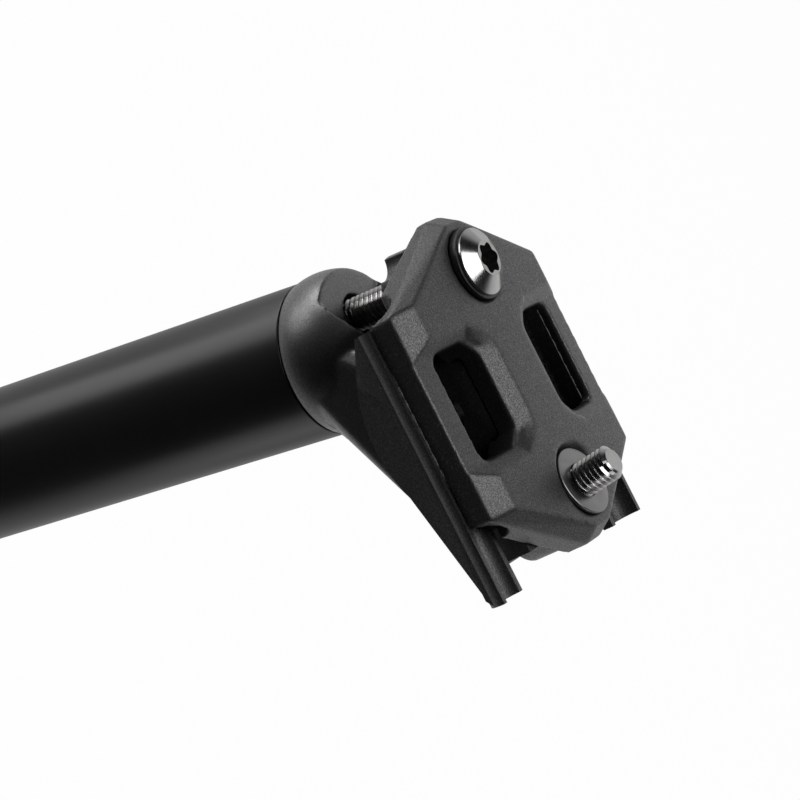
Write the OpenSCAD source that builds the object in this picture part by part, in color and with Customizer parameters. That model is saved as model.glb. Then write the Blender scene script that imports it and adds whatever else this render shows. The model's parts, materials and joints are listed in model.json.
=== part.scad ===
// Two-bolt bicycle seatpost: a round tube, a forged head pressed into it, and a rail clamp
// whose lower cradle rocks in a round saddle on the head.
// Z runs up the tube's axis from the centre of its lower end, and +X points to the rear.

/* [Tube] */
// Outer diameter of the tube
tube_d = 27.2; // [26:0.1:31.6]
// Wall thickness of the tube
tube_wall = 2.2; // [1.6:0.1:2.6]
// Length of the tube from its lower end to the seam
tube_len = 321; // [200:1:360]

/* [Head] */
// Height of the rail centres over the seam, along the tube
head_rise = 29; // [28:0.5:31]
// Distance of the clamp's centre behind the tube's axis
setback = 13.8; // [12:0.1:15]
// Angle between the clamp's plane and a plane square to the tube
clamp_angle = 8; // [6:0.5:10]
// Length of the spigot inside the tube
spigot_len = 34; // [20:1:60]
// Widest radius of the head's round body
dome_r = 14.35; // [14:0.05:14.6]
// Height of that body's top over its widest place
dome_h = 12.8; // [12:0.2:13.4]
// Height of its widest place over the seam
dome_rise = 4.4; // [4:0.1:5]
// Radius of the pocket round the front bolt
pocket_r = 9.6; // [9:0.1:9.8]
// Distance of the pocket's middle before the clamp's centre
pocket_x = 23.2; // [22.4:0.2:24]
// Half width of the saddle that carries the cradle
saddle_half_w = 12.6; // [10:0.2:13.4]
// Reach of the saddle before the clamp's centre
saddle_front = 12; // [11:0.2:12.4]
// Reach of the saddle behind the clamp's centre
saddle_rear = 13.5; // [13:0.1:14]
// Width of the rear arm
arm_w = 13.6; // [13:0.2:15]
// Width of the gusset where it leaves the collar
gusset_w = 19; // [16:0.5:19.5]
// Thickness of the rear arm at its bolt
arm_thick = 4; // [3.8:0.2:5]
// Depth of the arm's top below the rail centres
arm_drop = 9.4; // [9.2:0.2:10]

/* [Clamp] */
// Distance between the two rail centres
rail_spacing = 44; // [43:0.5:45]
// Diameter of the saddle rails
rail_d = 7; // [6.6:0.1:7.2]
// Height of the rocking axis over the rail centres
rock_height = 15; // [13:0.5:17]
// Radius of the cradle's rocking face
rock_r = 27; // [26:0.2:28]
// Gap between the plate and the cradle at the rail centres
split_gap = 0.4; // [0.2:0.1:1]

/* [Cradle] */
// Distance of the cradle's front edge before the clamp's centre
cradle_front = 17.5; // [16:0.5:18]
// Distance of the rail troughs' rear ends behind the clamp's centre
cradle_rear = 30.8; // [27:0.2:34]
// Wall thickness of the rail troughs
trough_wall = 0.9; // [0.7:0.1:1.4]
// Height of the straight lip along each side
lip_h = 3; // [2.4:0.2:4]
// Radius of the wings' belly about the rocking axis
belly_r = 24.6; // [23.6:0.2:25.4]
// Radius of the hole through the middle web
web_hole_r = 3.2; // [2:0.2:3.4]
// Depth of that hole's centre below the rail centres
web_hole_drop = 5; // [4.4:0.2:5.4]
// Depth of the boss round the rear bolt
boss_drop = 6.4; // [5.6:0.2:6.8]
// Radius of that boss
boss_r = 8; // [7.4:0.2:8.8]

/* [Top plate] */
// Height of the plate's top over the rail centres
plate_top = 7.9; // [7:0.1:9]
// Width of the plate
plate_w = 51.6; // [51.4:0.2:53]
// Drop of the crowned top at the edges of its bevels
crown_drop = 0.85; // [0.4:0.05:1.2]
// Length of the plate's straight sides
plate_side = 36; // [32:1:40]
// Length of the plate from tip to tip
plate_len = 59.6; // [57:0.2:64]
// Width of the blunt tips
tip_w = 5; // [3:0.5:8]
// Width of the bevels along the sides, seen from above
bevel_w = 4.5; // [3:0.25:5]
// Width of the bevels round the nose and the tail
nose_bevel_w = 2.2; // [1.2:0.2:3]
// Height of the bevels
bevel_h = 3.4; // [2:0.2:4]
// Length of each window
window_len = 19; // [14:0.5:21]
// Distance of the windows' inner edges from the middle
window_in = 8.5; // [8.2:0.1:9.5]
// Distance of the windows' outer edges from the middle
window_out = 20.5; // [18:0.2:21]
// Depth of the windows' recessed rims below the plate's top, at their inner edges
rim_drop = 1.8; // [1:0.2:2.4]
// Width of the slope at the ends of each window
slope_w = 2.2; // [1:0.2:2.6]
// Width of the slope along the windows' inner edges
slope_in = 3.4; // [2:0.2:3.8]
// Height of the cradle's web over the rail centres, inside the plate
web_rise = 2.3; // [1.6:0.1:2.6]

/* [Bolts] */
// Nominal diameter of both bolts
bolt_d = 6; // [5:0.5:6]
// Distance of each bolt from the clamp's centre, at the plate's top
bolt_x = 20; // [19.4:0.2:20.6]
// Outward lean of the rear bolt below the plate
bolt_lean = 7.5; // [6:0.5:8.5]
// Outward lean of the front bolt below the plate
front_lean = 4; // [3:0.5:5.5]
// Radius of the spherical seats in the plate
seat_r = 7.5; // [7.2:0.1:8.5]
// Radius of those seats' mouths
seat_mouth = 6.6; // [6.4:0.1:6.8]
// Radius of the front bolt's flange
flange_r = 5.85; // [5:0.05:6.2]
// Radius of the rear nut
nut_r = 6.05; // [5.6:0.05:6.2]
// Length of the front bolt below the plate's top
front_reach = 35; // [34:0.5:36]
// Height of the rear bolt's tip over the plate's top
rear_tip = 7; // [3:0.5:9]
// Depth of the barrel nut's axis below the plate's top, along the bolt
barrel_drop = 29.4; // [29:0.1:29.6]
// Radius of the barrel nut
barrel_r = 4.2; // [3.9:0.1:4.3]
// Length of the barrel nut
barrel_len = 16; // [14:0.5:18]
// Radius of the rear bolt's hidden head
rear_head_r = 4.8; // [4.4:0.1:5]
// Radius over the thumb nut's lobes
thumb_r = 6.9; // [6.4:0.1:7.4]
// Height of the thumb nut
thumb_h = 5.1; // [4:0.1:5.6]
// Chamfer round the thumb nut's top
thumb_chamfer = 1.4; // [1.2:0.1:2]
// Number of lobes on the thumb nut
thumb_lobes = 5; // [5:1:8]

/* [Hidden] */
$fn = 96;
hull_fn = 32;
run_gap = 0.05;          // radial clearance of turning and sliding fits
swivel_gap = 0.14;       // radial clearance of the plate's spherical seats
loose_gap = 0.3;         // clearance round parts that pass through a hole
rock_gap = 0.15;         // clearance between the cradle and the head's saddle
press_gap = 0.02;        // radial gap that holds the adhesive round the spigot
far = 60;                // longer than any cut needs to be
tube_r = tube_d / 2;
bore_r = tube_r - tube_wall;
rail_r = rail_d / 2;
rail_y = rail_spacing / 2;
trough_r = rail_r + trough_wall;
bolt_r = bolt_d / 2;
rim_z = plate_top - rim_drop;
half_w = plate_w / 2;
wall_top = plate_top - bevel_h;              // the plate's side walls end here
crown_y = half_w - bevel_w;                  // the crowned top ends here
crown_r = (pow(crown_y, 2) + pow(crown_drop, 2)) / (2 * crown_drop);
web_w = 2 * window_in - 0.4;                 // width of the cradle's web inside the plate
trough_in = rail_y - trough_r;
seat_rise = sqrt(pow(seat_r, 2) - pow(seat_mouth, 2));
arm_seat_r = 8;          // radius of the round seat under the arm
arm_mouth = 5;           // radius of that seat's mouth
arm_seat_rise = sqrt(pow(arm_seat_r, 2) - pow(arm_mouth, 2));
slot_half = bolt_r + 2.1;                    // half length of the plate's bolt slots
arm_under = arm_drop + arm_thick;            // the arm's underside, below the rail centres
arm_under_s = (plate_top + arm_under) / cos(bolt_lean);   // the same, along the rear bolt
arm_x = bolt_x + (plate_top + arm_drop) * tan(bolt_lean); // the rear bolt at the arm's top
boss_x = bolt_x + plate_top * tan(bolt_lean);             // the rear bolt at the rail centres
arm_end = arm_x + arm_mouth + 0.1;                        // the arm's flat end
inner_lip_x = 20;        // the troughs' inner lips are cut down behind this
inner_lip_z = -1.2;      // height of the cut inner lips
head_flat = 2.2;         // height of the front bolt's domed head
washer_lip = 1;          // height of the front washer's rim over the plate's top
pocket_drop = 16.8;      // depth of the pocket's floor below the rail centres
web_half = 8.3;          // half width of the cradle's middle web
pocket_floor = 8.2;      // depth of the cradle's pockets below the rail centres
notch_r = thumb_r + 3;   // radius of the cradle's notch round the thumb nut
thumb_top = 9.3;         // depth of the thumb nut's top below the plate's top
gusset_x = 8.8;          // the gusset's foot behind the tube's axis
lip_step_x = 10.6;       // the lip's deep front part ends this far before the clamp's centre

// Puts its children in the clamp's frame: origin midway between the rails, X along them.
module in_clamp()
    translate([setback, 0, tube_len + head_rise]) rotate([0, -clamp_angle, 0]) children();

// Puts its children on a bolt's axis, from the plate's top: side is -1 in front, 1 behind.
module on_bolt(side)
    in_clamp() bolt_line(side) children();

module bolt_line(side)
    translate([side * bolt_x, 0, plate_top])
        rotate([0, side > 0 ? -bolt_lean : front_lean, 0]) children();

// A cylinder along Y through the clamp's frame.
module across(r, w)
    rotate([90, 0, 0]) cylinder(r = r, h = w, center = true);

// A slot along X with round ends, open downwards from its top at z = 0.
module slot_down(half, r, h) {
    for (s = [-1, 1]) translate([s * (half - r), 0, -h]) cylinder(r = r, h = h);
    translate([r - half, -r, -h]) cube([2 * (half - r), 2 * r, h]);
}

// A side profile in X and Z, given thickness w about y = 0.
module side_profile(points, w)
    rotate([90, 0, 0]) translate([0, 0, -w / 2]) linear_extrude(w) polygon(points);

module tube() color([0.07, 0.07, 0.075]) difference() {
    cylinder(r = tube_r, h = tube_len);
    translate([0, 0, -1]) cylinder(r = bore_r, h = tube_len + 2);
}

// The head's round body: the spigot inside the tube and the dome over the seam.
module head_round() {
    steps = 20;
    start = asin(-dome_rise / dome_h);
    translate([0, 0, tube_len]) rotate_extrude()
        polygon(concat([[0, -spigot_len], [bore_r - press_gap, -spigot_len], [bore_r - press_gap, 0]],
                       [for (i = [0:steps]) let (a = start + (90 - start) * i / steps)
                           [dome_r * cos(a), dome_rise + dome_h * sin(a)]]));
}

// The block under the cradle, blended down into the round body.
module head_saddle_block() hull() {
    in_clamp() for (narrow = [0, 2.4])
        translate([4 - saddle_front - 1.7 * narrow, narrow - saddle_half_w, -rock_r / 2 - 1])
            cube([saddle_front + saddle_rear - 4, 2 * (saddle_half_w - narrow), 7]);
    intersection() {
        translate([0, 0, tube_len + 2]) cylinder(r = tube_r - 0.4, h = 3, $fn = 64);
        translate([-4, -far / 2, tube_len]) cube(far);
    }
}

// The gusset that rises from the seam to the arm.
module head_gusset() hull() {
    translate([0, -gusset_w / 2, tube_len + 0.4]) cube([gusset_x, gusset_w, tube_r - 1.6]);
    in_clamp() translate([8, -arm_w / 2, -arm_under - 0.4]) cube([8, arm_w, arm_thick]);
}

// The arm's flat lug round the rear bolt.
module head_arm() in_clamp() hull() {
    translate([arm_x, 0, -arm_under]) cylinder(d = arm_w, h = arm_thick, $fn = hull_fn);
    translate([8, -arm_w / 2, -arm_under]) cube([4, arm_w, arm_thick]);
}

// The round seat under the arm, which turns about a line along Y, from that line up.
module arm_seat() {
    room = arm_mouth + 0.6;
    intersection() {
        across(arm_seat_r, 2 * room);
        translate([0, 0, -1]) cylinder(r = room, h = arm_seat_r + 2);
    }
    translate([0, 0, -4]) cylinder(r = room, h = 4);
}

module head() color([0.06, 0.06, 0.065]) difference() {
    union() {
        head_round();
        head_saddle_block();
        head_gusset();
        head_arm();
    }
    in_clamp() translate([0, 0, rock_height]) across(rock_r + rock_gap, far);
    // room above the arm for the cradle's rear boss
    in_clamp() translate([saddle_rear, -far / 2, -arm_drop]) cube([far, far, far]);
    in_clamp() translate([arm_end, -far / 2, -far / 2]) cube(far);
    // the pocket round the front bolt, and the bolt's hole below it
    in_clamp() translate([-pocket_x, 0, -pocket_drop]) cylinder(r = pocket_r, h = far);
    on_bolt(-1) translate([0, 0, -front_reach - 3]) cylinder(r = bolt_r + loose_gap + 0.3, h = far);
    // the barrel nut's cross bore, open on the right and blind on the left
    on_bolt(-1) translate([0, -barrel_len / 2 - loose_gap, -barrel_drop]) rotate([-90, 0, 0])
        cylinder(r = barrel_r + run_gap, h = far);
    // the rear bolt's slot and the spherical seat under the arm
    on_bolt(1) translate([0, 0, -arm_under_s + arm_thick + 2])
        slot_down(bolt_r + loose_gap + 0.5, bolt_r + loose_gap, arm_thick + 8);
    on_bolt(1) translate([0, 0, -arm_under_s - arm_seat_rise]) arm_seat();
}

// One wing with its rail trough, on the side y = side * rail_y.
module cradle_wing(side) {
    len = cradle_front + cradle_rear;
    front_z = rock_height - sqrt(pow(belly_r, 2) - pow(14.2, 2));
    belly = [for (a = [-34:4:22]) [belly_r * sin(a), rock_height - belly_r * cos(a)]];
    // the half pipe of the trough
    translate([-cradle_front, side * rail_y, 0]) rotate([0, 90, 0]) difference() {
        cylinder(r = trough_r, h = len);
        translate([-trough_r - split_gap / 2, -trough_r, -1])
            cube([trough_r, 2 * trough_r, len + 2]);
    }
    // the belly under it
    translate([0, side * (half_w - 0.9 + trough_in) / 2, 0])
        side_profile(concat([[-cradle_front, -split_gap / 2], [-cradle_front, -lip_h]], belly,
                            [[cradle_rear, -lip_h - 0.2], [cradle_rear, -split_gap / 2]]),
                     half_w - 0.9 - trough_in);
    // the lip along its outer edge, deeper at the front
    translate([0, side * (half_w - 0.65), 0])
        side_profile([[-cradle_front, -split_gap / 2], [-cradle_front, -lip_h],
                      [-lip_step_x, -lip_h - 3.6], [4 - lip_step_x, -lip_h - 0.5], [-3, -lip_h - 0.2],
                      [cradle_rear - 1.5, -lip_h - 0.2], [cradle_rear, -lip_h + 1],
                      [cradle_rear, -split_gap / 2]], 1.3);
}

// The middle of the cradle, round below about the rocking axis.
module cradle_middle() {
    reach = 16.5;
    half_angle = asin(reach / rock_r);
    steps = 16;
    side_profile(concat([[-reach, -split_gap / 2]],
                        [for (i = [0:steps]) let (a = half_angle * (2 * i / steps - 1))
                            [rock_r * sin(a), rock_height - rock_r * cos(a)]],
                        [[reach, -split_gap / 2]]),
                 2 * trough_in + 1);
    translate([boss_x, 0, -boss_drop]) cylinder(r = boss_r, h = boss_drop - split_gap / 2);
    translate([-window_len / 2, -web_w / 2, -3]) cube([window_len, web_w, 3 + web_rise]);
    translate([reach - 3, -boss_r, -boss_drop]) cube([boss_x - reach + 3, 2 * boss_r,
                                                      boss_drop - split_gap / 2]);
}

module lower_cradle() color([0.05, 0.05, 0.055]) in_clamp() difference() {
    union() {
        for (side = [-1, 1]) cradle_wing(side);
        cradle_middle();
    }
    for (side = [-1, 1]) {
        translate([0, side * rail_y, 0]) rotate([0, 90, 0])
            cylinder(r = rail_r, h = 4 * far, center = true);
        translate([inner_lip_x, side > 0 ? trough_in - 0.1 : -rail_y, inner_lip_z])
            cube([far, trough_r + 0.1, trough_r]);
        // the pocket under each window
        translate([-window_len / 2, side > 0 ? web_half : -trough_in, -pocket_floor])
            cube([window_len, trough_in - web_half, pocket_floor + 1]);
    }
    // the hole through the middle web
    translate([0.5, 0, -web_hole_drop]) across(web_hole_r, 2 * trough_in - 1);
    bolt_line(-1) translate([0, 0, -far]) cylinder(r = notch_r, h = far);
    bolt_line(1) translate([0, 0, -plate_top + 2]) slot_down(bolt_r + 3.2, bolt_r + loose_gap, far / 2);
}

module plate_outline() {
    tip = tip_w / 2;
    polygon([[-plate_len / 2, -tip], [-plate_side / 2, -half_w], [plate_side / 2, -half_w],
             [plate_len / 2, -tip], [plate_len / 2, tip], [plate_side / 2, half_w],
             [-plate_side / 2, half_w], [-plate_len / 2, tip]]);
}

// The foot of the bevels seen from above, if they ran on up to the plate's full height.
module plate_inner_outline() {
    x = plate_len / 2 - nose_bevel_w;
    y = half_w - bevel_w * bevel_h / (bevel_h - crown_drop);
    tip = tip_w / 2;
    polygon([[-x, -tip], [-plate_side / 2, -y], [plate_side / 2, -y], [x, -tip],
             [x, tip], [plate_side / 2, y], [-plate_side / 2, y], [-x, tip]]);
}

// One end of a window's cut: its recessed rim falls outwards to the side wall's top edge.
module window_section(half, y_in, lift) {
    y_out = half_w + 4;
    fall = (rim_z - wall_top) / (half_w - window_in);
    for (y = [y_in, y_out]) translate([-half, y, rim_z - fall * (y - window_in) + lift])
        cube([2 * half, 0.01, 0.01]);
}

// The window on the side y > 0, with its inner corners cut off.
module window_cut() {
    half = window_len / 2;
    round_r = 2.2;
    hull() {
        for (sx = [-1, 1]) {
            translate([sx * (half - round_r), window_out - round_r, -1])
                cylinder(r = round_r, h = 2 * plate_top, $fn = hull_fn);
            translate([sx * (half - round_r - 1.6), window_in + round_r, -1])
                cylinder(r = round_r, h = 2 * plate_top, $fn = hull_fn);
            translate([sx * (half - round_r), window_in + round_r + 1.6, -1])
                cylinder(r = round_r, h = 2 * plate_top, $fn = hull_fn);
        }
    }
    hull() {
        window_section(half - 1.8, window_in, 0);
        window_section(half, window_in + 2.2, 0);
        window_section(half - 4.2, window_in - 2 * slope_in, 2 * rim_drop);
        window_section(half + 2 * slope_w, window_in + 1.8, 2 * rim_drop);
    }
}

module top_plate() color([0.09, 0.09, 0.095]) in_clamp() difference() {
    intersection() {
        hull() {
            translate([0, 0, split_gap / 2]) linear_extrude(wall_top - split_gap / 2)
                offset(r = 1, $fn = hull_fn) offset(delta = -1) plate_outline();
            translate([0, 0, split_gap / 2]) linear_extrude(plate_top - split_gap / 2)
                plate_inner_outline();
        }
        translate([0, 0, plate_top - crown_r]) rotate([0, 90, 0])
            cylinder(r = crown_r, h = 2 * plate_len, center = true, $fn = 720);
    }
    for (side = [-1, 1]) {
        translate([0, side * rail_y, 0]) rotate([0, 90, 0])
            cylinder(r = rail_r, h = 4 * far, center = true);
        bolt_line(side) translate([0, 0, seat_rise]) sphere(r = seat_r);
        bolt_line(side) slot_down(slot_half, bolt_r + loose_gap, 2 * plate_top);
    }
    window_cut();
    mirror([0, 1, 0]) window_cut();
    // room for the cradle's web between the windows
    translate([-window_len / 2 - 0.3, -web_w / 2 - 0.6, -1])
        cube([window_len + 0.6, web_w + 1.2, web_rise + 1 + split_gap / 2]);
}

// The six-lobed driver socket, cut down from z = 0.
module lobe_socket(r, depth) translate([0, 0, -depth]) {
    cylinder(r = r * 0.78, h = depth + 1);
    for (a = [0:60:300]) rotate([0, 0, a]) translate([r * 0.76, 0, 0])
        cylinder(r = r * 0.24, h = depth + 1);
}

module front_bolt() color("silver") on_bolt(-1) difference() {
    union() {
        translate([0, 0, washer_lip]) rotate_extrude()
            polygon([[0, 0], [flange_r, 0], [flange_r, 0.7], [flange_r * 0.66, head_flat],
                     [0, head_flat]]);
        translate([0, 0, -front_reach]) cylinder(r = bolt_r, h = front_reach + washer_lip + 0.2);
    }
    translate([0, 0, washer_lip + head_flat]) lobe_socket(2.8, 2);
}

module front_washer() color([0.03, 0.03, 0.03]) on_bolt(-1) difference() {
    intersection() {
        translate([0, 0, seat_rise]) sphere(r = seat_r - swivel_gap);
        translate([0, 0, -seat_r]) cylinder(r = flange_r + 0.5, h = seat_r + washer_lip);
    }
    translate([0, 0, -seat_r]) cylinder(r = bolt_r + run_gap, h = 3 * seat_r);
}

module barrel_nut() color([0.25, 0.25, 0.26]) on_bolt(-1) translate([0, 0, -barrel_drop])
    difference() {
        across(barrel_r, barrel_len);
        cylinder(r = bolt_r + run_gap, h = 4 * barrel_r, center = true);
    }

module thumb_nut() color([0.12, 0.12, 0.12]) on_bolt(-1) translate([0, 0, -thumb_top - thumb_h])
    difference() {
        union() {
            cylinder(r = thumb_r, h = thumb_h - thumb_chamfer);
            translate([0, 0, thumb_h - thumb_chamfer])
                cylinder(r1 = thumb_r, r2 = thumb_r - thumb_chamfer, h = thumb_chamfer);
        }
        translate([0, 0, -1]) cylinder(r = bolt_r + run_gap, h = thumb_h + 2);
        for (i = [0:thumb_lobes - 1]) rotate([0, 0, (i + 0.5) * 360 / thumb_lobes + 40])
            translate([thumb_r + 1.6, 0, -1]) cylinder(r = 3.3, h = thumb_h + 2);
    }

module rear_bolt() color("silver") on_bolt(1) difference() {
    union() {
        translate([0, 0, -arm_under_s - 2.9]) cylinder(r = rear_head_r, h = 2.4);
        translate([0, 0, -arm_under_s - 0.7]) cylinder(r = bolt_r, h = arm_under_s + 0.7 + rear_tip - 0.6);
        translate([0, 0, rear_tip - 0.61]) cylinder(r1 = bolt_r, r2 = bolt_r - 0.6, h = 0.61);
    }
    translate([0, 0, -arm_under_s - 2.9]) rotate([180, 0, 0]) lobe_socket(2.8, 1.6);
}

module rear_washer() color([0.03, 0.03, 0.03]) on_bolt(1) difference() {
    intersection() {
        translate([0, 0, -arm_under_s - arm_seat_rise]) across(arm_seat_r - run_gap, 3 * arm_mouth);
        translate([0, 0, -arm_under_s - 0.5]) cylinder(r = arm_mouth - 0.2, h = arm_seat_r);
    }
    translate([0, 0, -arm_under_s - 1]) cylinder(r = bolt_r + run_gap, h = 2 * arm_seat_r);
}

module rear_nut() color("silver") on_bolt(1) difference() {
    intersection() {
        translate([0, 0, seat_rise]) sphere(r = seat_r - swivel_gap);
        translate([0, 0, -seat_r]) cylinder(r = nut_r, h = seat_r + 0.1);
    }
    translate([0, 0, -seat_r]) cylinder(r = bolt_r + run_gap, h = 3 * seat_r);
}

tube();
head();
lower_cradle();
top_plate();
front_bolt();
front_washer();
barrel_nut();
thumb_nut();
rear_bolt();
rear_washer();
rear_nut();
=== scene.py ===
"""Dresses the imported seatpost: rounded edges, threads, anodised and steel finishes, and a studio."""
import json
import math

import bmesh
import bpy
from bpy.props import FloatProperty, FloatVectorProperty, IntProperty, PointerProperty
from bpy.types import Operator, Panel, PropertyGroup
from mathutils import Euler, Matrix, Vector


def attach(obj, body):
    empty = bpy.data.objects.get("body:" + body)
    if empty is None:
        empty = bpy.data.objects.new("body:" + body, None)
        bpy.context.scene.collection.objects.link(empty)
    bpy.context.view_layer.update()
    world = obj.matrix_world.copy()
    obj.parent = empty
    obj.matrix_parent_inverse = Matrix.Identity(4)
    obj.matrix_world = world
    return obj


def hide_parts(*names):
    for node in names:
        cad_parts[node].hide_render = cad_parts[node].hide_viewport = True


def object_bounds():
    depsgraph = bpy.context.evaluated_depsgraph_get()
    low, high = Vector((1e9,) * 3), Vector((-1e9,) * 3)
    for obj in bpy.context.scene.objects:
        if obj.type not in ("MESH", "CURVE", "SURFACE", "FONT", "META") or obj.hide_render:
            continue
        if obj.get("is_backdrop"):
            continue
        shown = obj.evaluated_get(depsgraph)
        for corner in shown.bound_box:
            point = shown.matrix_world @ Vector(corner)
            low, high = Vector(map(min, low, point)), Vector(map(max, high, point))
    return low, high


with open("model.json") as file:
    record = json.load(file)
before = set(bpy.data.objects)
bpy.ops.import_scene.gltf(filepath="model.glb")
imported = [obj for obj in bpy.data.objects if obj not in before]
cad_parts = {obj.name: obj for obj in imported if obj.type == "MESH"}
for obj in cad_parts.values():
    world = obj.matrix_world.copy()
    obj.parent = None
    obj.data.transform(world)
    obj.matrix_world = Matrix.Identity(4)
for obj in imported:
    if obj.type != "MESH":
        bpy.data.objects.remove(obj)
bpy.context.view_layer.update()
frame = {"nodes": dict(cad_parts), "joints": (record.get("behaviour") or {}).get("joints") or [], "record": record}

bl_info = {
    "name": "Seatpost dresser",
    "version": (1, 0, 0),
    "blender": (4, 5, 0),
    "location": "View3D > Sidebar > Seatpost",
    "description": "Finishes a two-bolt seatpost: edges, threads, materials and studio",
    "category": "Object",
}

MM = 0.001
OVERCUT = 1 * MM                     # how far a cutting tool stands past what it cuts
JOINTS = {joint["name"]: joint for joint in frame["joints"]}

# Copies of CAD meshes
WELD = 0.002 * MM                    # points nearer than this become one
FLAT = math.radians(0.6)             # faces that turn by less become one

# The rail clamp's frame: rail centres at z = 0, the nose towards -x
CLAMP_LEAN = math.radians(-8)        # its turn about Y
ROCK_HEIGHT = 15 * MM                # the tilt axis over the rail centres

# The upper plate, in the clamp's frame
NOSE_START = Vector((-21.7 * MM, 0, 0.2 * MM))    # the nose's underside rises from here
NOSE_RISE = Vector((-9.1, 0, 2.6))   # the way to its tip
CRISP_HEIGHT = 1.0 * MM              # the plate's edges stay crisp up to here
SOFTENING = 1.4 * MM                 # and are fully softened this much higher
WINDOW_HALF = 9.5 * MM               # half a window's length
WINDOW_IN = 8.5 * MM                 # its inner edge from the middle of the clamp
WINDOW_ROUND = 2.2 * MM              # radius of its corners
WINDOW_CHAMFER = 1.6 * MM            # what its inner corners lose
RIM_HEIGHT = 6.1 * MM                # the recessed rim's floor at the inner edge
RIM_FALL = 0.0925                    # that floor's fall outwards
RIM_RISE = 3.6 * MM                  # height of the slope round the rim, past the plate's top
RIM_SLOPE = 4.4 * MM                 # width of that slope at the window's ends
RIM_SLOPE_IN = 6.8 * MM              # and at its inner edge
RIM_OUT = 29.8 * MM                  # the recess runs out to here, past the plate's side
RIM_END_ROUND = 0.01 * MM            # its corners out there are as good as sharp
ROUND_STEPS = 32                     # corners of a round in the recess

# The block behind the saddle, from corner to corner in the clamp's frame
WEB_LOW = Vector((13.5 * MM, -12 * MM, -6.4 * MM))
WEB_HIGH = Vector((26.2 * MM, 12 * MM, -0.2 * MM))

# The screws
THREAD_R = 3 * MM
THREAD_FOOT = 0.44                   # half width of the thread's ridge at its foot, in pitches
THREAD_CREST = 0.07                  # and at its crest
THREAD_SINK = 0.25                   # how deep the foot lies in the core, in thread depths
FADE_IN = 5.0                        # length of the thread's thin start, in core radii
FADE_OUT = 1.4                       # its thin end is one turn long, divided by this
THINNEST = 0.05                      # size of the ridge at its very ends, as a share
FRONT_TIP = 0.4 * MM                 # chamfer at the front screw's lower end
FRONT_BARE = (0.7 * MM, 0.5 * MM)    # bare core below and above the front thread
SEAT_LAP = 0.05 * MM                 # how far the front head reaches into its washer
FLANGE_WALL = 0.62 * MM              # height of the front head's upright rim
CONE_TOP = 3.1 * MM                  # radius of the front head's cone at its top
REAR_NECK = 0.15 * MM                # the rear head's top over the foot of its seat
SHANK = 4 * MM                       # plain shank over the rear head
SHANK_TAPER = 0.5 * MM
REAR_BARE = (4.4 * MM, 0.45 * MM)    # bare shank below the rear thread, bare tip above it
TIP_ROUND = ((0, 0.75), (0.1, 0.3), (0.42, 0))    # the rear tip: millimetres in and down
LOBE_R = 2.8 * MM                    # outer radius of the driver socket's lobes
SOCKET_R = LOBE_R + 0.06 * MM        # faces nearer to the axis are in the socket, and get its painted shade
SOCKET_DEPTH = 2.6 * MM
SOCKET_LOBE = 0.6 * MM               # depth of the hollows between the lobes
SOCKET_LIP = 0.1 * MM                # the painted shade stops this far under the socket's mouth, so a bright steel edge stays there

# Finishes
GLINT = 0.8                          # strength of the blasted grain's bright facets
MOTTLE = 0.175                       # how far the anodising's shade wanders, as a share
CLOUD = 9 * MM                       # size of the blasted pieces' paler and darker patches
TUBE_CLOUD = 26 * MM
POLISH = 2.2 * MM                    # length of the tube's polishing marks
RING = 0.09 * MM                     # spacing of the turning marks
STAIN = 1.6 * MM                     # size of the steel's duller patches
WEAR = 0.9 * MM                      # and of the oxide's worn ones
OIL = 0.12 * MM                      # size of the oxide's fine dimples

# The studio, in metres and watts
TARGET = Vector((0.0, 0.0, 0.33))    # the clamp, which the lamps face
ROOM_WHITE = 0.7                     # the backdrop's light on the part
ROOM_DARK = 0.01                     # light from the camera's side
DARK_SIDE = 0.1                      # a way that faces the camera by this cosine is dark
WHITE_SIDE = -0.4                    # and by this one white
FLOOR_GLOW = 0.975                   # share of pure white in the floor that the camera sees
FLOOR_HALF = 6.0
FLOOR_DROP = 0.2 * MM                # the floor under the part's lower end
FLOOR_GREY = (0.8, 0.8, 0.8, 1)
WHITE = (1, 1, 1, 1)
LAMPS = (                            # name, place from the target, width, height and power
    ("strip_softbox", (-0.42, -0.155, -0.225), 0.26, 0.36, 1.0),
    ("side_softbox", (-0.58, 0.03, -0.02), 0.3, 0.3, 1.6),
    ("top_softbox", (-0.08, -0.08, 0.77), 0.6, 0.6, 5.6),
    ("rear_softbox", (0.06, 0.74, 0.5), 1.3, 1.3, 1.4),
    ("tail_softbox", (0.62, -0.1, -0.1), 0.4, 0.4, 0.7),
)
CAMERA_PLACE = Vector((-25.235, -372.423, 571.922)) * MM
CAMERA_TURN = Euler([math.radians(turn) for turn in (24.695, -53.5736, 54.7213)])
CAMERA_LENS = 117.1872               # in millimetres, as the sensor
CAMERA_SENSOR = 36.0


# User sizes and colours

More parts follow.
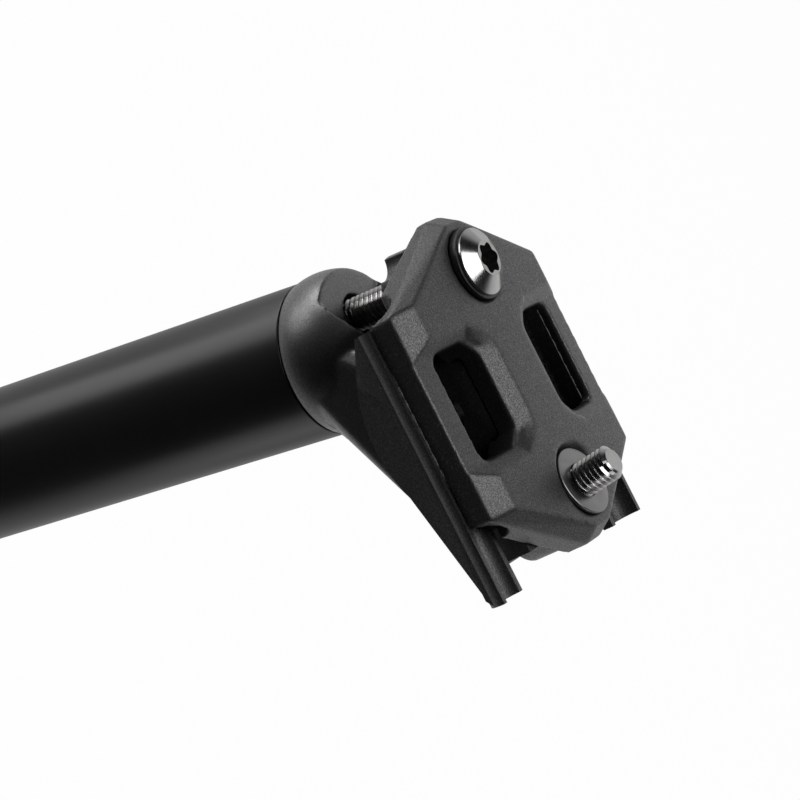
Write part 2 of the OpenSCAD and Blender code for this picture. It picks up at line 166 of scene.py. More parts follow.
class SeatpostSizes(PropertyGroup):
    """Sizes of the finishing work."""
    skin: FloatProperty(name="Skin", description="Mesh size of the softened forgings",
                        default=0.34 * MM, unit="LENGTH")
    plate_passes: IntProperty(name="Plate passes", description="Softening of the plate's edges",
                              default=9, min=1, max=40)
    cradle_edge: FloatProperty(name="Cradle edge", description="Radius of the lower cradle's edges",
                               default=0.4 * MM, unit="LENGTH")
    head_passes: IntProperty(name="Head passes", description="Softening of the head's edges",
                             default=8, min=1, max=40)
    seam_edge: FloatProperty(name="Seam edge", description="Chamfer round each side of the seam",
                             default=0.22 * MM, unit="LENGTH")
    screw_edge: FloatProperty(name="Screw edge", description="Radius of the screws' turned edges",
                              default=0.12 * MM, unit="LENGTH")
    thumb_edge: FloatProperty(name="Thumb nut edge", description="Radius of the star nut's edges",
                              default=0.3 * MM, unit="LENGTH")
    thread_pitch: FloatProperty(name="Thread pitch", description="Pitch of both screws",
                                default=1.0 * MM, unit="LENGTH")
    thread_depth: FloatProperty(name="Thread depth", description="Depth of the thread",
                                default=0.55 * MM, unit="LENGTH")
    thread_steps: IntProperty(name="Thread steps", description="Points on one turn of the thread",
                              default=40, min=12, max=96)
    grain: FloatProperty(name="Blast grain", description="Size of the bead-blasted grain",
                         default=0.3 * MM, unit="LENGTH")


class SeatpostColours(PropertyGroup):
    """Colours of the finishes."""
    tube: FloatVectorProperty(name="Tube", description="Anodising on the tube", subtype="COLOR",
                              size=3, default=(0.008, 0.008, 0.0084), min=0, max=1)
    head: FloatVectorProperty(name="Head", description="Anodising on the head", subtype="COLOR",
                              size=3, default=(0.008, 0.008, 0.0084), min=0, max=1)
    clamp: FloatVectorProperty(name="Clamp", description="Anodising on the plate and cradle",
                               subtype="COLOR", size=3, default=(0.0095, 0.0095, 0.0098),
                               min=0, max=1)
    steel: FloatVectorProperty(name="Steel", description="Stainless screws and nut",
                               subtype="COLOR", size=3, default=(0.34, 0.337, 0.333), min=0, max=1)
    # this colour is also painted as shade into the front screw's driver socket
    oxide: FloatVectorProperty(name="Oxide", description="Blackened washers and barrel nut",
                               subtype="COLOR", size=3, default=(0.02, 0.02, 0.021), min=0, max=1)
    thumb: FloatVectorProperty(name="Thumb nut", description="Anodising on the star nut",
                               subtype="COLOR", size=3, default=(0.03, 0.03, 0.031),
                               min=0, max=1)


# Shader maths

class Wire:
    """A shader socket whose arithmetic adds Math nodes."""

    def __init__(self, desk, socket):
        self.desk = desk
        self.socket = socket

    def _math(self, operation, *values):
        return self.desk.node("ShaderNodeMath", {"operation": operation}, values)

    def __add__(self, other):
        return self._math("ADD", self, other)

    __radd__ = __add__

    def __sub__(self, other):
        return self._math("SUBTRACT", self, other)

    def __rsub__(self, other):
        return self._math("SUBTRACT", other, self)

    def __mul__(self, other):
        return self._math("MULTIPLY", self, other)

    def __pow__(self, other):
        return self._math("POWER", self, other)

    def clamp(self):
        return self.desk.node("ShaderNodeClamp", {}, {"Value": self})


class Desk:
    """A shader's node tree being wired."""

    def __init__(self, tree):
        self.tree = tree
        self.tree.nodes.clear()

    def node(self, kind, settings=None, inputs=None, output=0):
        """Adds a node with its settings and inputs, and returns one of its outputs."""
        made = self.tree.nodes.new(kind)
        for key, value in (settings or {}).items():
            setattr(made, key, value)
        pairs = inputs.items() if isinstance(inputs, dict) else enumerate(inputs or ())
        for key, value in pairs:
            if isinstance(value, Wire):
                self.tree.links.new(value.socket, made.inputs[key])
            else:
                made.inputs[key].default_value = value
        return None if output is None else Wire(self, made.outputs[output])


class Finish(Desk):
    """One material being mixed, on Object coordinates."""

    def __init__(self, name):
        self.material = bpy.data.materials.new(name)
        self.material.use_nodes = True
        super().__init__(self.material.node_tree)
        self.place = self.node("ShaderNodeTexCoord", output="Object")

    def noise(self, size, detail=2.0, roughness=0.5, where=None):
        """Fractal noise whose blobs are about size metres across."""
        return self.node("ShaderNodeTexNoise", {},
                         {"Vector": where or self.place, "Scale": 1 / size, "Detail": detail,
                          "Roughness": roughness})

    def ramp(self, value, low, high):
        """0 below low, 1 above high, smooth between."""
        return self.node("ShaderNodeMapRange", {"interpolation_type": "SMOOTHSTEP"},
                         {"Value": value, "From Min": low, "From Max": high})

    def mixed(self, factor, first, second):
        """From the first colour to the second, either a wire or three numbers."""
        first, second = (colour if isinstance(colour, Wire) else (*colour, 1)
                         for colour in (first, second))
        return self.node("ShaderNodeMix", {"data_type": "RGBA"},
                         {"Factor": factor, "A": first, "B": second}, "Result")

    def bump(self, height, depth, strength, under=None):
        """A normal for a height map, over another normal if there is one."""
        inputs = {"Height": height, "Distance": depth, "Strength": strength}
        if under is not None:
            inputs["Normal"] = under
        return self.node("ShaderNodeBump", {}, inputs)

    def finish(self, **values):
        """Wires the surface shader and returns the material."""
        shader = self.node("ShaderNodeBsdfPrincipled", {},
                           {name.replace("_", " "): value for name, value in values.items()})
        self.node("ShaderNodeOutputMaterial", {}, {"Surface": shader}, None)
        return self.material


def lighter(colour, factor):
    """A colour times a factor."""
    return tuple(min(1.0, part * factor) for part in colour)


def blasted_anodising(name, colour, grain, rough=0.46, sparkle=1.0, shine=0.36):
    """Bead-blasted, anodised aluminium: a fine dimpled grain, with tiny facets whose glints are painted into the
    colour as bright specks.
    """
    desk = Finish(name)
    dimples = desk.noise(grain, detail=2.0, roughness=0.55)
    specks = desk.noise(grain * 0.9, detail=1.0, roughness=0.4)
    facets_and_painted_glints = desk.ramp(specks, low=0.6, high=0.78) * sparkle
    sparks = desk.noise(grain * 0.7, detail=2.0, roughness=0.6)
    glint = desk.ramp(sparks, low=0.4, high=0.64) * GLINT
    cloud = desk.noise(CLOUD, detail=3.0, roughness=0.5)
    shade = desk.mixed(cloud, lighter(colour, 1 - MOTTLE), lighter(colour, 1 + MOTTLE))
    # painted glints: on the facets the colour is made up to seven times lighter
    base = desk.mixed(facets_and_painted_glints * 0.6, shade, lighter(colour, 7))
    roughness = (rough + (cloud - 0.5) * 0.12 - facets_and_painted_glints * 0.14).clamp()
    normal = desk.bump(dimples, depth=0.05 * MM, strength=0.7)
    return desk.finish(Base_Color=base, Roughness=roughness, Normal=normal, Metallic=0.0,
                       Specular_IOR_Level=shine, Coat_Weight=glint, Coat_Roughness=0.4)


def satin_anodising(name, colour, grain):
    """Satin, anodised tube: an even, fine grain with faint marks round it from polishing."""
    desk = Finish(name)
    stretched = desk.node("ShaderNodeMapping", {}, {"Vector": desk.place, "Scale": (1, 1, 9)})
    polish = desk.noise(POLISH, detail=4.0, roughness=0.6, where=stretched)
    dust = desk.noise(grain, detail=2.0, roughness=0.6)
    cloud = desk.noise(TUBE_CLOUD, detail=2.0, roughness=0.5)
    shade = desk.mixed(cloud, lighter(colour, 0.85), lighter(colour, 1.2))
    specks = desk.ramp(dust, low=0.66, high=0.8)
    base = desk.mixed(specks * 0.35, shade, lighter(colour, 4))
    roughness = (0.33 + (polish - 0.5) * 0.07 + (cloud - 0.5) * 0.06).clamp()
    fine = desk.bump(dust, depth=0.016 * MM, strength=0.4)
    normal = desk.bump(polish, depth=0.006 * MM, strength=0.3, under=fine)
    return desk.finish(Base_Color=base, Roughness=roughness, Normal=normal, Metallic=0.0,
                       Specular_IOR_Level=0.36)


def turned_steel(name, colour, centre, axis, rough=0.2, ring_depth=0.005 * MM):
    """Bright steel with faint turning rings about an axis."""
    desk = Finish(name)
    turn = axis.to_track_quat("Z", "Y").inverted()
    from_centre = desk.node("ShaderNodeVectorMath", {"operation": "SUBTRACT"},
                            (desk.place, tuple(centre)))
    local = desk.node("ShaderNodeMapping", {"vector_type": "POINT"},
                      {"Vector": from_centre, "Rotation": tuple(turn.to_euler())})
    split = desk.tree.nodes.new("ShaderNodeSeparateXYZ")
    desk.tree.links.new(local.socket, split.inputs[0])
    x = Wire(desk, split.outputs["X"])
    y = Wire(desk, split.outputs["Y"])
    radius = (x * x + y * y) ** 0.5
    rings = desk.node("ShaderNodeTexNoise", {"noise_dimensions": "1D"},
                      {"W": radius, "Scale": 1 / RING, "Detail": 2.0, "Roughness": 0.6})
    stain = desk.noise(STAIN, detail=3.0, roughness=0.6)
    shade = desk.mixed(stain, lighter(colour, 0.82), lighter(colour, 1.08))
    roughness = (rough + (stain - 0.5) * 0.16 + (rings - 0.5) * 0.1).clamp()
    normal = desk.bump(rings, depth=ring_depth, strength=0.7)
    return desk.finish(Base_Color=shade, Roughness=roughness, Normal=normal, Metallic=1.0)


def black_oxide(name, colour):
    """Oily, blackened steel with worn lighter patches."""
    desk = Finish(name)
    wear = desk.ramp(desk.noise(WEAR, detail=4.0, roughness=0.65), low=0.52, high=0.78)
    shade = desk.mixed(wear, colour, lighter(colour, 3.2))
    normal = desk.bump(desk.noise(OIL), depth=0.01 * MM, strength=0.4)
    return desk.finish(Base_Color=shade, Roughness=(0.42 - wear * 0.12).clamp(), Metallic=0.6,
                       Normal=normal)


def paint(piece, material):
    """Gives a piece one material."""
    piece.data.materials.clear()
    piece.data.materials.append(material)


def paint_socket_shade(piece, place, low, high, material):
    """Paints shade into a driver's socket: its faces between two heights on the axis get their own dark finish, as
    painted shade.
    """
    piece.data.materials.append(material)
    inward = place.inverted()
    for polygon in piece.data.polygons:
        spot = inward @ polygon.center
        if spot.xy.length < SOCKET_R and low < spot.z < high:
            polygon.material_index = 1


# Mesh tools

def made_mesh(work, name):
    """A mesh of a working copy, which is freed."""
    mesh = bpy.data.meshes.new(name)
    work.to_mesh(mesh)
    work.free()
    return mesh


def add_piece(name, mesh):
    """An object in the scene, at the origin."""
    piece = bpy.data.objects.new(name, mesh)
    bpy.context.scene.collection.objects.link(piece)
    return piece


def cad_copy(node):
    """A merged, dissolved copy of a CAD node's mesh."""
    work = bmesh.new()
    work.from_mesh(frame["nodes"][node].data)
    bmesh.ops.remove_doubles(work, verts=work.verts, dist=WELD)
    bmesh.ops.dissolve_degenerate(work, edges=work.edges, dist=WELD)
    bmesh.ops.dissolve_limit(work, angle_limit=FLAT, verts=work.verts, edges=work.edges)
    return made_mesh(work, node + "_copy")


def bake_modifiers(piece):
    """Turns the evaluated piece into a plain mesh."""
    graph = bpy.context.evaluated_depsgraph_get()
    mesh = bpy.data.meshes.new_from_object(piece.evaluated_get(graph))
    piece.modifiers.clear()
    piece.data = mesh


def combine(piece, operation, name, mesh):
    """Joins another closed mesh to a piece, or takes it away."""
    tool = add_piece(name, mesh)
    step = piece.modifiers.new("Combine", "BOOLEAN")
    step.operation = operation
    step.solver = "EXACT"
    step.object = tool
    bake_modifiers(piece)
    bpy.data.objects.remove(tool)


def round_edges(piece, radius, angle, segments):
    """Rounds the edges that turn by more than an angle in degrees."""
    bevel = piece.modifiers.new("Edges", "BEVEL")
    bevel.width = radius
    bevel.segments = segments
    bevel.limit_method = "ANGLE"
    bevel.angle_limit = math.radians(angle)
    bake_modifiers(piece)


def smooth(piece, sharp):
    """Shades a piece smooth, but for edges that turn by more than an angle in degrees."""
    for polygon in piece.data.polygons:
        polygon.use_smooth = True
    piece.data.set_sharp_from_angle(angle=math.radians(sharp))


def rounded(node, name, radius, material, angle=35, segments=3, extra=None):
    """A copy of a CAD node, with another mesh joined to it if there is one, and rounded edges."""
    piece = add_piece(name, cad_copy(node))
    if extra:
        combine(piece, "UNION", "extra", extra)
    round_edges(piece, radius, angle, segments)
    smooth(piece, sharp=35)
    paint(piece, material)
    return piece


def softened(name, mesh, voxel, passes, material, softness=None):
    """A forging under an even skin, whose edges run softly together, as far as softness says."""
    piece = add_piece(name, mesh)
    skin = piece.modifiers.new("Skin", "REMESH")
    skin.mode = "VOXEL"
    skin.voxel_size = voxel
    bake_modifiers(piece)
    relax = piece.modifiers.new("Edges", "SMOOTH")
    relax.factor = 0.5
    relax.iterations = passes
    if softness:
        group = piece.vertex_groups.new(name="Soft")
        for vertex in piece.data.vertices:
            group.add([vertex.index], softness(vertex.co), "REPLACE")
        relax.vertex_group = "Soft"
    bake_modifiers(piece)
    smooth(piece, sharp=60)
    paint(piece, material)
    return piece


def settle(piece, node):
    """Lets a piece ride with its node's body and stand for that node."""
    record = frame["record"]
    body = next(b for b, members in record["behaviour"]["bodies"].items() if node in members)
    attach(piece, body)
    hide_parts(node)


def trimmed(mesh, name, point, outward):
    """A closed mesh less what lies past a plane, closed at the cut."""
    work = bmesh.new()
    work.from_mesh(mesh)
    cut = bmesh.ops.bisect_plane(work, geom=work.verts[:] + work.edges[:] + work.faces[:],
                                 plane_co=point, plane_no=outward, clear_outer=True)
    edges = [item for item in cut["geom_cut"] if isinstance(item, bmesh.types.BMEdge)]
    bmesh.ops.holes_fill(work, edges=edges, sides=0)
    return made_mesh(work, name)


def block(low, high, place):
    """A box between two corners of a frame."""
    work = bmesh.new()
    bmesh.ops.create_cube(work, size=1.0)
    size = Matrix.Diagonal((*(high - low), 1))
    work.transform(place @ Matrix.Translation((low + high) / 2) @ size)
    return made_mesh(work, "block")


def merged(name, parts, place):
    """One mesh from several, each moved to its place."""
    work = bmesh.new()
    for mesh, matrix in parts:
        start = len(work.verts)
        work.from_mesh(mesh)
        work.verts.ensure_lookup_table()
        bmesh.ops.transform(work, matrix=place @ matrix, verts=work.verts[start:])
    return made_mesh(work, name)


def spin_profile(name, profile, steps=72):
    """A closed solid turned about Z from (radius, height) points that start and end on the axis."""
    work = bmesh.new()
    rings = []
    for radius, height in profile:
        if radius:
            angles = [math.tau * i / steps for i in range(steps)]
            rings.append([work.verts.new((radius * math.cos(angle), radius * math.sin(angle), height))
                          for angle in angles])
        else:
            rings.append([work.verts.new((0, 0, height))])
    for low, high in zip(rings, rings[1:]):
        for i in range(steps):
            j = (i + 1) % steps
            corners = [low[i % len(low)], low[j % len(low)], high[j % len(high)],
                       high[i % len(high)]]
            corners = list(dict.fromkeys(corners))
            if len(corners) > 2:
                work.faces.new(corners)
    bmesh.ops.recalc_face_normals(work, faces=work.faces)
    return made_mesh(work, name)


def lobed_prism(low, high, lobes=6, steps=96):
    """A six-lobed driver's shape between two heights on Z."""
    work = bmesh.new()
    rings = []
    for height in (low, high):
        ring = []
        for i in range(steps):
            angle = math.tau * i / steps
            hollow = 0.5 - 0.5 * math.cos(lobes * angle)
            radius = LOBE_R - SOCKET_LOBE * hollow
            ring.append(work.verts.new((radius * math.cos(angle), radius * math.sin(angle), height)))
        rings.append(ring)
    for i in range(steps):
        j = (i + 1) % steps
        work.faces.new((rings[0][i], rings[0][j], rings[1][j], rings[1][i]))
    work.faces.new(rings[0][::-1])
    work.faces.new(rings[1])
    return made_mesh(work, "lobed_prism")


# The threads

def thread_tree():
    """Geometry Nodes that wind a thread's ridge about Z and taper its two ends."""
    tree = bpy.data.node_groups.new("Thread ridge", "GeometryNodeTree")
    sockets = {}
    for label, kind in (("Pitch", "NodeSocketFloat"), ("Depth", "NodeSocketFloat"),
                        ("Radius", "NodeSocketFloat"), ("Length", "NodeSocketFloat"),
                        ("Steps", "NodeSocketInt"), ("Material", "NodeSocketMaterial")):
        sockets[label] = tree.interface.new_socket(label, in_out="INPUT", socket_type=kind)
    tree.interface.new_socket("Geometry", in_out="OUTPUT", socket_type="NodeSocketGeometry")
    given = tree.nodes.new("NodeGroupInput").outputs
    out = tree.nodes.new("NodeGroupOutput")

    def add(kind, settings=None, inputs=None):
        """Adds a node and returns its first output."""
        made = tree.nodes.new(kind)
        for key, value in (settings or {}).items():
            setattr(made, key, value)
        for key, value in (inputs or {}).items():
            if isinstance(value, bpy.types.NodeSocket):
                tree.links.new(value, made.inputs[key])
            else:
                made.inputs[key].default_value = value
        return made.outputs[0]

    def maths(operation, first, second):
        return add("ShaderNodeMath", {"operation": operation}, {0: first, 1: second})

    turns = maths("DIVIDE", given["Length"], given["Pitch"])
    root = maths("SUBTRACT", given["Radius"], given["Depth"])
    coil = add("GeometryNodeCurveSpiral", None,
               {"Resolution": given["Steps"], "Rotations": turns, "Start Radius": root,
                "End Radius": root, "Height": given["Length"], "Reverse": True})
    upright = add("GeometryNodeSetCurveNormal", {"mode": "Z_UP"}, {0: coil})
    along = tree.nodes.new("GeometryNodeSplineParameter").outputs
    from_start = maths("DIVIDE", along["Length"], maths("MULTIPLY", root, FADE_IN))
    rest = maths("SUBTRACT", 1.0, along["Factor"])
    from_end = maths("MULTIPLY", rest, maths("MULTIPLY", turns, FADE_OUT))
    taper = maths("MINIMUM", maths("MINIMUM", from_start, from_end), 1.0)
    eased = add("GeometryNodeSetCurveRadius", None,
                {0: upright, "Radius": maths("MAXIMUM", taper, THINNEST)})
    foot = maths("MULTIPLY", given["Pitch"], THREAD_FOOT)
    crest = maths("MULTIPLY", given["Pitch"], THREAD_CREST)
    sunk = maths("MULTIPLY", given["Depth"], -THREAD_SINK)
    corners = []
    for side, height, width in ((-1.0, sunk, foot), (-1.0, given["Depth"], crest),
                                (1.0, given["Depth"], crest), (1.0, sunk, foot)):
        corners.append(add("ShaderNodeCombineXYZ", None,
                           {"X": height, "Y": maths("MULTIPLY", width, side)}))
    ridge = add("GeometryNodeCurvePrimitiveQuadrilateral", {"mode": "POINTS"},
                {f"Point {i + 1}": corner for i, corner in enumerate(corners)})
    sweep = add("GeometryNodeCurveToMesh", None,
                {"Curve": eased, "Profile Curve": ridge, "Fill Caps": True})
    solid = add("GeometryNodeRealizeInstances", None, {0: sweep})
    painted = add("GeometryNodeSetMaterial", None, {0: solid, "Material": given["Material"]})
    tree.links.new(painted, out.inputs[0])
    return tree, {label: socket.identifier for label, socket in sockets.items()}


def thread_mesh(sizes, length, material):
    """The ridge of one thread, from z = 0 up to its length."""
    tree, names = thread_tree()
    carrier = add_piece("thread_carrier", bpy.data.meshes.new("thread_carrier"))
    modifier = carrier.modifiers.new("Thread", "NODES")
    modifier.node_group = tree
    for label, value in (("Pitch", sizes.thread_pitch), ("Depth", sizes.thread_depth),
                         ("Radius", THREAD_R), ("Length", length), ("Steps", sizes.thread_steps),
                         ("Material", material)):
        modifier[names[label]] = value
    graph = bpy.context.evaluated_depsgraph_get()
    mesh = bpy.data.meshes.new_from_object(carrier.evaluated_get(graph))
    bpy.data.objects.remove(carrier)
    return mesh


# Places of the pieces

def clamp_place():
    """The rail clamp's frame."""
    tilt = Matrix.Translation(JOINTS["clamp_tilt"]["pos_m"])
    return tilt @ Matrix.Rotation(CLAMP_LEAN, 4, "Y") @ Matrix.Translation((0, 0, -ROCK_HEIGHT))


def axis_of(joint):
    """A point on a screw's axis, and the axis, up towards the plate."""
    data = JOINTS[joint]
    return Vector(data["pos_m"]), Vector(data["axis"]).normalized()


def on_axis(point, axis):
    """The frame whose Z runs along an axis from a point on it."""
    return Matrix.Translation(point) @ axis.to_track_quat("Z", "Y").to_matrix().to_4x4()


def reach(node, point, axis):
    """Lowest and highest place of a node along an axis, from a point on it."""
    along = [(vertex.co - point).dot(axis) for vertex in frame["nodes"][node].data.vertices]
    return min(along), max(along)


def widest(node, point, axis):
    """Largest distance of a node from an axis."""
    return max(((vertex.co - point) - (vertex.co - point).dot(axis) * axis).length
               for vertex in frame["nodes"][node].data.vertices)


def recess(place, side):
    """What a window's rounded recess takes from the plate, on one side of the clamp."""
    work = bmesh.new()

    def post(along, out, edge, rise, radius):
        """A round at both ends of the window, over the rim's floor."""
        height = RIM_HEIGHT - RIM_FALL * (edge - WINDOW_IN) + rise
        for end in (-1, 1):
            for step in range(ROUND_STEPS):
                angle = math.tau * step / ROUND_STEPS
                spot = Vector((along * end + radius * math.cos(angle),
                               side * (out + radius * math.sin(angle)), height))
                work.verts.new(place @ spot)

    for rise, slope, slope_in in ((0, 0, 0), (RIM_RISE, RIM_SLOPE, RIM_SLOPE_IN)):
        along = WINDOW_HALF - WINDOW_ROUND
        out = WINDOW_IN + WINDOW_ROUND
        radius = WINDOW_ROUND + slope
        post(along - WINDOW_CHAMFER, out + slope - slope_in, WINDOW_IN, rise, radius)
        post(along, out + WINDOW_CHAMFER, WINDOW_IN + WINDOW_CHAMFER, rise, radius)
        post(WINDOW_HALF + slope, RIM_OUT, RIM_OUT, rise, RIM_END_ROUND)
    hull = bmesh.ops.convex_hull(work, input=work.verts)
    inner = {item for item in hull["geom_interior"] + hull["geom_unused"]
             if isinstance(item, bmesh.types.BMVert)}
    bmesh.ops.delete(work, geom=list(inner), context="VERTS")
    bmesh.ops.recalc_face_normals(work, faces=work.faces)
    return made_mesh(work, "recess")


# Operators

def sizes_and_colours():
    """The user's settings."""
    scene = bpy.context.scene
    return scene.seatpost_sizes, scene.seatpost_colours


class SEATPOST_OT_tube(Operator):
    """Finish the tube and ease its two ends"""
    bl_idname = "seatpost.tube"
    bl_label = "Tube"

    def execute(self, context):
        sizes, colours = sizes_and_colours()
        satin = satin_anodising("satin_tube", tuple(colours.tube), sizes.grain)
        tube = rounded("tube", "tube_body", sizes.seam_edge, satin, angle=40, segments=2)
        settle(tube, "tube")
        return {"FINISHED"}


class SEATPOST_OT_head(Operator):
    """Finish the forged head"""
    bl_idname = "seatpost.head"
    bl_label = "Head"

    def execute(self, context):
        sizes, colours = sizes_and_colours()
        blasted = blasted_anodising("forged_head", tuple(colours.head), sizes.grain * 1.2,
                                    rough=0.4, sparkle=0.6, shine=1.0)
        head = softened("forged_head", cad_copy("head"), sizes.skin, sizes.head_passes, blasted)
        settle(head, "head")
        return {"FINISHED"}


class SEATPOST_OT_clamp(Operator):
    """Finish the rail clamp's plate and cradle"""
    bl_idname = "seatpost.clamp"
    bl_label = "Rail clamp"

    def execute(self, context):
        sizes, colours = sizes_and_colours()
        blasted = blasted_anodising("blasted_clamp", tuple(colours.clamp), sizes.grain)
        place = clamp_place()
        cradle = rounded("lower_cradle", "rail_cradle", sizes.cradle_edge, blasted, angle=30,
                         extra=block(WEB_LOW, WEB_HIGH, place))
        settle(cradle, "lower_cradle")

        under = Vector((-NOSE_RISE.z, 0, NOSE_RISE.x))
        nosed = trimmed(cad_copy("top_plate"), "plate", place @ NOSE_START,
                        place.to_3x3() @ under)
        blank = add_piece("plate_blank", nosed)
        for side in (1, -1):
            combine(blank, "DIFFERENCE", "recess", recess(place, side))
        cut = blank.data
        bpy.data.objects.remove(blank)
        inward = place.inverted()

        def softness(spot):
            """None at the faces that close on the cradle, full above them."""
            return min(1.0, max(0.0, ((inward @ spot).z - CRISP_HEIGHT) / SOFTENING))

        plate = softened("clamp_plate", cut, sizes.skin, sizes.plate_passes, blasted, softness)
        settle(plate, "top_plate")
        return {"FINISHED"}


class SEATPOST_OT_front_bolt(Operator):
    """Cut the front screw's thread and finish what it carries"""
    bl_idname = "seatpost.front_bolt"
    bl_label = "Front bolt"

    def head(self, neck, high, rim, edge):
        """The cone head over its flange, with a six-lobed socket."""
        head = add_piece("front_head", spin_profile("front_head", [
            (0, neck), (rim - edge, neck), (rim, neck + edge), (rim, neck + FLANGE_WALL),
            (rim - edge, neck + FLANGE_WALL + edge), (CONE_TOP + edge, high - edge),
            (CONE_TOP, high), (0, high)]))
        combine(head, "DIFFERENCE", "driver", lobed_prism(high - SOCKET_DEPTH, high + OVERCUT))
        mesh = head.data
        bpy.data.objects.remove(head)
        return mesh

    def execute(self, context):
        sizes, colours = sizes_and_colours()
        point, axis = axis_of("front_bolt_turn")
        place = on_axis(point, axis)
        low, high = reach("front_bolt", point, axis)
        neck = reach("front_washer", point, axis)[1] - SEAT_LAP
        root = THREAD_R - sizes.thread_depth
        core = spin_profile("front_core", [(0, low), (root - FRONT_TIP, low),
                                           (root, low + FRONT_TIP), (root, neck), (0, neck)])
        head = self.head(neck, high, widest("front_bolt", point, axis), sizes.screw_edge)
        steel = turned_steel("front_steel", tuple(colours.steel), point, axis)
        thread = thread_mesh(sizes, neck - low - sum(FRONT_BARE), steel)
        screw = add_piece("front_screw", merged("front_screw", [
            (core, Matrix()), (thread, Matrix.Translation((0, 0, low + FRONT_BARE[0]))),
            (head, Matrix())], place))
        smooth(screw, sharp=20)
        paint(screw, steel)
        # black oxide on the washer and barrel nut, and as painted shade inside the screw's socket
        oxide = black_oxide("black_washer_and_socket_shade", tuple(colours.oxide))
        # painted shade: the faces inside the socket get the black oxide
        paint_socket_shade(screw, place, neck + SEAT_LAP, high - SOCKET_LIP, oxide)
        settle(screw, "front_bolt")
        washer = rounded("front_washer", "front_washer_ring", sizes.screw_edge, oxide)
        settle(washer, "front_washer")
        barrel = rounded("barrel_nut", "barrel_nut_body", sizes.screw_edge * 2, oxide)
        settle(barrel, "barrel_nut")
        return {"FINISHED"}


class SEATPOST_OT_thumb_nut(Operator):
    """Finish the star nut under the plate's nose"""
    bl_idname = "seatpost.thumb_nut"
    bl_label = "Thumb nut"

    def execute(self, context):
        sizes, colours = sizes_and_colours()
        blasted = blasted_anodising("star_nut", tuple(colours.thumb), sizes.grain,
                                    rough=0.4, sparkle=0.6)
        settle(rounded("thumb_nut", "star_nut", sizes.thumb_edge, blasted), "thumb_nut")
        return {"FINISHED"}


class SEATPOST_OT_rear_bolt(Operator):
    """Cut the rear screw's thread and finish what it carries"""
    bl_idname = "seatpost.rear_bolt"
    bl_label = "Rear bolt"

    def execute(self, context):
        sizes, colours = sizes_and_colours()
        point, axis = axis_of("rear_bolt_turn")
        place = on_axis(point, axis)
        high = reach("rear_bolt", point, axis)[1]
        neck = reach("rear_washer", point, axis)[0] + REAR_NECK
        root = THREAD_R - sizes.thread_depth
        tip = [(root - inset * MM, high - down * MM) for inset, down in TIP_ROUND]
        core = spin_profile("rear_core", [
            (0, neck), (THREAD_R, neck), (THREAD_R, neck + SHANK),
            (root, neck + SHANK + SHANK_TAPER), *tip, (0, high)])
        head = add_piece("rear_head", trimmed(cad_copy("rear_bolt"), "rear_bolt_band",
                                              point + axis * neck, axis))
        round_edges(head, sizes.screw_edge, angle=35, segments=2)
        steel = turned_steel("rear_steel", tuple(colours.steel), point, axis)
        start = neck + REAR_BARE[0]
        thread = thread_mesh(sizes, high - start - REAR_BARE[1], steel)
        screw = add_piece("rear_screw", merged("rear_screw", [
            (core, Matrix()), (thread, Matrix.Translation((0, 0, start))),
            (head.data, place.inverted())], place))
        bpy.data.objects.remove(head)
        smooth(screw, sharp=20)
        paint(screw, steel)
        settle(screw, "rear_bolt")
        dull = turned_steel("nut_steel", lighter(tuple(colours.steel), 0.55), point, axis,
                            rough=0.3, ring_depth=0.014 * MM)
        settle(rounded("rear_nut", "round_nut", sizes.screw_edge * 1.5, dull), "rear_nut")
        oxide = black_oxide("black_seat", tuple(colours.oxide))
        seat = rounded("rear_washer", "rear_seat_ring", sizes.screw_edge, oxide)
        settle(seat, "rear_washer")
        return {"FINISHED"}


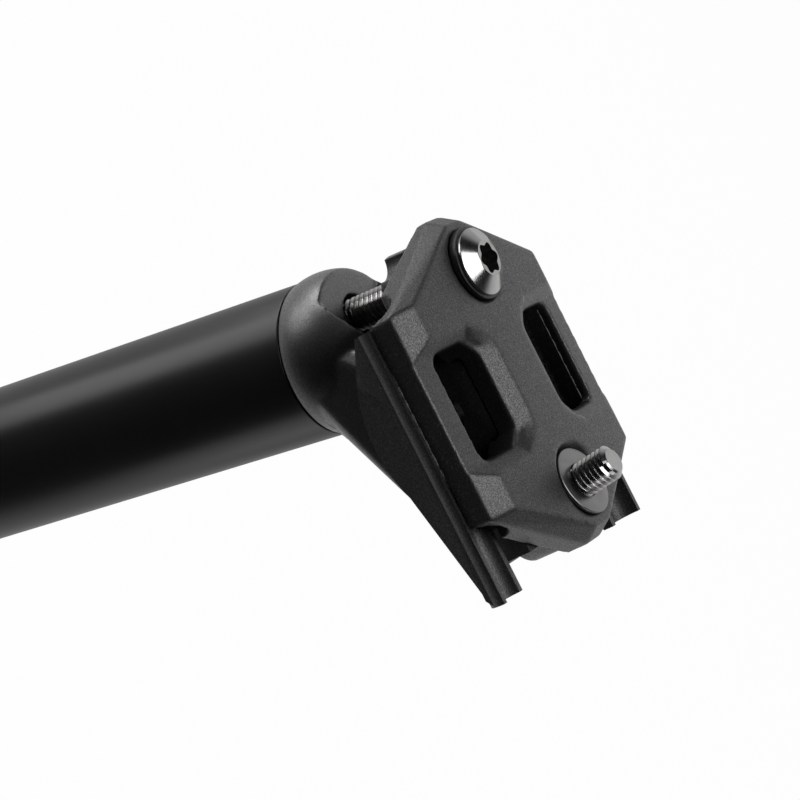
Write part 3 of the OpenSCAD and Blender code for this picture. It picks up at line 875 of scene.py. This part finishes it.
class SEATPOST_OT_stage(Operator):
    """Set the white room, the lamps and the camera"""
    bl_idname = "seatpost.stage"
    bl_label = "Studio"

    def lamp(self, name, offset, width, height, power):
        """An area lamp that faces the clamp."""
        data = bpy.data.lights.new(name, "AREA")
        data.energy = power
        data.shape = "SQUARE" if width == height else "RECTANGLE"
        data.size = width
        data.size_y = height
        lamp = bpy.data.objects.new(name, data)
        lamp.location = TARGET + Vector(offset)
        lamp.rotation_euler = (-Vector(offset)).to_track_quat("-Z", "Y").to_euler()
        bpy.context.scene.collection.objects.link(lamp)

    def backdrop(self, desk, way, back):
        """Light that a ray brings back: white behind the part, dark on the camera's own side."""
        facing = desk.node("ShaderNodeVectorMath", {"operation": "DOT_PRODUCT"},
                           (way, tuple(back)), "Value")
        return desk.node("ShaderNodeMapRange", {"interpolation_type": "SMOOTHSTEP"},
                         {"Value": facing, "From Min": DARK_SIDE, "From Max": WHITE_SIDE,
                          "To Min": ROOM_DARK, "To Max": ROOM_WHITE})

    def floor(self, back):
        """A pale floor, white to the camera but for the part's soft shadow."""
        work = bmesh.new()
        bmesh.ops.create_grid(work, x_segments=8, y_segments=8, size=FLOOR_HALF)
        mesh = made_mesh(work, "studio_floor")
        mesh.transform(Matrix.Translation((0, 0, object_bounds()[0].z - FLOOR_DROP)))
        floor = add_piece("studio_floor", mesh)
        desk = Finish("pale_floor")
        camera_ray = desk.node("ShaderNodeLightPath", output="Is Camera Ray")
        glossy_ray = desk.node("ShaderNodeLightPath", output="Is Glossy Ray")
        clear_ray = desk.node("ShaderNodeLightPath", output="Is Transmission Ray")
        incoming = desk.node("ShaderNodeNewGeometry", output="Incoming")
        mirrored = (glossy_ray + clear_ray).clamp()
        shine = mirrored * self.backdrop(desk, incoming, -back)
        glow = desk.node("ShaderNodeEmission", {},
                         {"Color": WHITE, "Strength": camera_ray + shine})
        pale = desk.node("ShaderNodeBsdfDiffuse", {}, {"Color": FLOOR_GREY})
        share = (camera_ray * FLOOR_GLOW + mirrored).clamp()
        mix = desk.node("ShaderNodeMixShader", {}, (share, pale, glow))
        desk.node("ShaderNodeOutputMaterial", {}, {"Surface": mix}, None)
        paint(floor, desk.material)
        floor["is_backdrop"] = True

    def white_room(self, scene, back):
        """The world, lit as the backdrop is."""
        world = scene.world or bpy.data.worlds.new("Studio")
        scene.world = world
        world.use_nodes = True
        desk = Desk(world.node_tree)
        way = desk.node("ShaderNodeTexCoord", output="Generated")
        straight = desk.node("ShaderNodeLightPath", output="Is Camera Ray")
        power = desk.node("ShaderNodeMath", {"operation": "MAXIMUM"},
                          (straight, self.backdrop(desk, way, back)))
        light = desk.node("ShaderNodeBackground", {}, {"Color": WHITE, "Strength": power})
        desk.node("ShaderNodeOutputWorld", {}, {"Surface": light}, None)

    def camera(self, scene, view):
        """The photograph's viewing angle."""
        data = bpy.data.cameras.new("Camera")
        data.lens = CAMERA_LENS
        data.sensor_width = CAMERA_SENSOR
        data.clip_start = 10 * MM
        camera = bpy.data.objects.new("Camera", data)
        camera.matrix_world = view
        scene.collection.objects.link(camera)
        scene.camera = camera

    def execute(self, context):
        scene = context.scene
        view = Matrix.LocRotScale(CAMERA_PLACE, CAMERA_TURN, None)
        back = view.col[2].xyz
        self.floor(back)
        self.white_room(scene, back)
        for lamp in LAMPS:
            self.lamp(*lamp)
        self.camera(scene, view)
        scene.view_settings.view_transform = "Standard"
        return {"FINISHED"}


class SEATPOST_PT_panel(Panel):
    """Sizes, colours and steps"""
    bl_idname = "SEATPOST_PT_panel"
    bl_label = "Seatpost"
    bl_space_type = "VIEW_3D"
    bl_region_type = "UI"
    bl_category = "Seatpost"

    def draw(self, context):
        for group in (context.scene.seatpost_sizes, context.scene.seatpost_colours):
            box = self.layout.box()
            for key in group.__annotations__:
                box.prop(group, key)
        for step in STEPS:
            self.layout.operator(step.bl_idname)


STEPS = (SEATPOST_OT_tube, SEATPOST_OT_head, SEATPOST_OT_clamp, SEATPOST_OT_front_bolt,
         SEATPOST_OT_thumb_nut, SEATPOST_OT_rear_bolt, SEATPOST_OT_stage)
CLASSES = (SeatpostSizes, SeatpostColours, *STEPS, SEATPOST_PT_panel)


def register():
    for cls in CLASSES:
        bpy.utils.register_class(cls)
    bpy.types.Scene.seatpost_sizes = PointerProperty(type=SeatpostSizes)
    bpy.types.Scene.seatpost_colours = PointerProperty(type=SeatpostColours)


def unregister():
    del bpy.types.Scene.seatpost_colours
    del bpy.types.Scene.seatpost_sizes
    for cls in reversed(CLASSES):
        bpy.utils.unregister_class(cls)


def main():
    register()
    for step in ("tube", "head", "clamp", "front_bolt", "thumb_nut", "rear_bolt", "stage"):
        getattr(bpy.ops.seatpost, step)()


if __name__ == "__main__":
    main()
